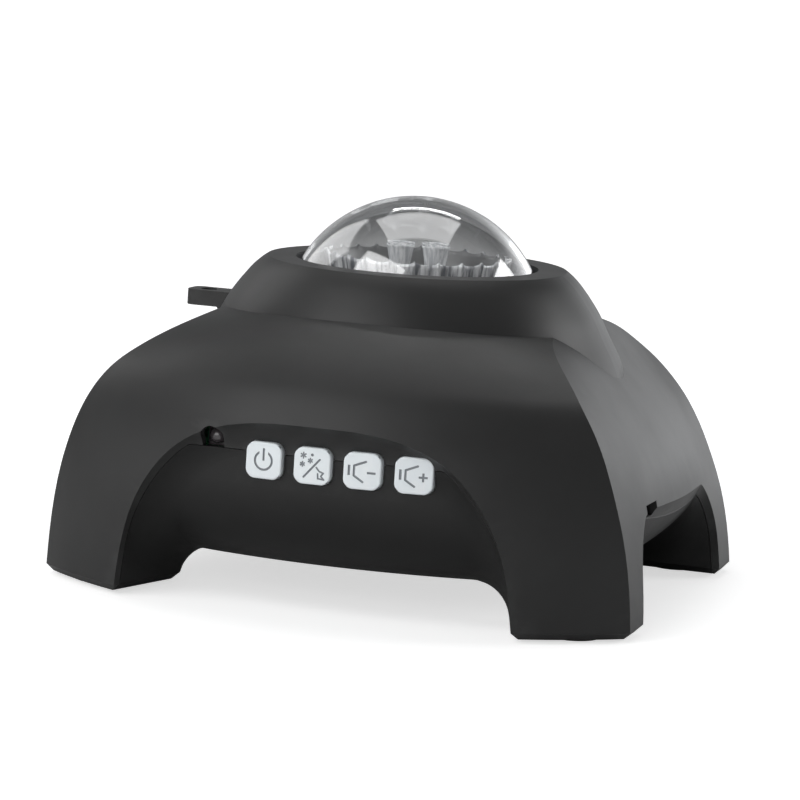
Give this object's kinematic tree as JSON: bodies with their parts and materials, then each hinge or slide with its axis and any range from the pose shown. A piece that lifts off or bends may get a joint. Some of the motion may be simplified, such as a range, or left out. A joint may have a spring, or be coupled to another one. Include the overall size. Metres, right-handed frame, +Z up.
{
  "type": "star night light projector",
  "caption": "Night light projector: a black case on bowed legs with a clear dome on top, grey press keys under the front arch, and a turning lens crown over lights and a laser.",
  "frame": {"origin": "on the table under the dome's middle, which is the middle of the case's plan", "axes": "+Z up, the keys face -Y, +X to the right as seen from the keys' side"},
  "size_m": [0.1716, 0.1772, 0.1108],
  "materials": {
    "case": "satin black, fine grain",
    "key": "satin pale grey",
    "dome_clear": "polished clear",
    "lens_clear": "polished clear",
    "gasket": "matte",
    "foot_rubber": "matte",
    "baffle": "bright",
    "chassis": "moulded",
    "acetal": "moulded",
    "plunger": "moulded",
    "steel": "zinc plated",
    "aluminium": "turned",
    "laser_brass": "turned",
    "circuit_board": "solder mask",
    "chip": "moulded",
    "led": "potted",
    "receiver": "dark tinted",
    "ribbon": "flat cable",
    "felt": "felt",
    "basket": "coated",
    "cone": "pressed paper"
  },
  "bodies": {
    "base": {"top_shell": "case", "bottom_shell": "case", "dome_lens": "dome_clear", "collimator_lens": "lens_clear", "star_grating": "lens_clear", "dome_gasket": "gasket", "foot_pad_front_left": "foot_rubber", "foot_pad_front_right": "foot_rubber", "foot_pad_rear_left": "foot_rubber", "foot_pad_rear_right": "foot_rubber", "light_baffle": "baffle", "optics_deck": "chassis", "lens_retainer": "chassis", "lens_tower": "chassis", "thrust_washer": "acetal", "switch_housings": "acetal", "retainer_screws": "steel", "tower_screws": "steel", "motor_screws": "steel", "motor_can": "steel", "board_screws": "steel", "key_board_screws": "steel", "case_screws": "steel", "column_screws": "steel", "usb_socket": "steel", "heat_slug": "aluminium", "laser_holder": "aluminium", "laser_module": "laser_brass", "led_board": "circuit_board", "main_board": "circuit_board", "port_board": "circuit_board", "key_board": "circuit_board", "board_parts": "chip", "leds": "led", "ir_receiver": "receiver", "key_ribbon": "ribbon", "speaker_gasket": "felt", "speaker_frame": "basket", "speaker_magnet": "basket", "speaker_cone": "cone"},
    "crown": {"crown_gear": "acetal", "ripple_crown": "lens_clear"},
    "pinion": {"motor_shaft": "steel", "motor_pinion": "acetal"},
    "power_key": {"key_power": "key", "plunger_power": "plunger"},
    "stars_key": {"key_stars": "key", "plunger_stars": "plunger"},
    "volume_down_key": {"key_volume_down": "key", "plunger_volume_down": "plunger"},
    "volume_up_key": {"key_volume_up": "key", "plunger_volume_up": "plunger"}
  },
  "joints": [
    {"name": "power_press", "type": "slide", "parent": "base", "child": "power_key", "axis": [0, 1, 0], "range_m": [0, 0.0005], "stiffness_N_per_m": 800},
    {"name": "stars_press", "type": "slide", "parent": "base", "child": "stars_key", "axis": [0, 1, 0], "range_m": [0, 0.0005], "stiffness_N_per_m": 800},
    {"name": "volume_down_press", "type": "slide", "parent": "base", "child": "volume_down_key", "axis": [0, 1, 0], "range_m": [0, 0.0005], "stiffness_N_per_m": 800},
    {"name": "volume_up_press", "type": "slide", "parent": "base", "child": "volume_up_key", "axis": [0, 1, 0], "range_m": [0, 0.0005], "stiffness_N_per_m": 800},
    {"name": "crown_spin", "type": "hinge", "parent": "base", "child": "crown", "pos_m": [0, 0, 0], "axis": [0, 0, 1], "continuous": true},
    {"name": "pinion_spin", "type": "hinge", "parent": "base", "child": "pinion", "pos_m": [0, 0.0225, 0], "axis": [0, 0, 1], "continuous": true}
  ],
  "couplings": [
    {"joint": "pinion_spin", "follows": "crown_spin", "ratio": -4}
  ]
}
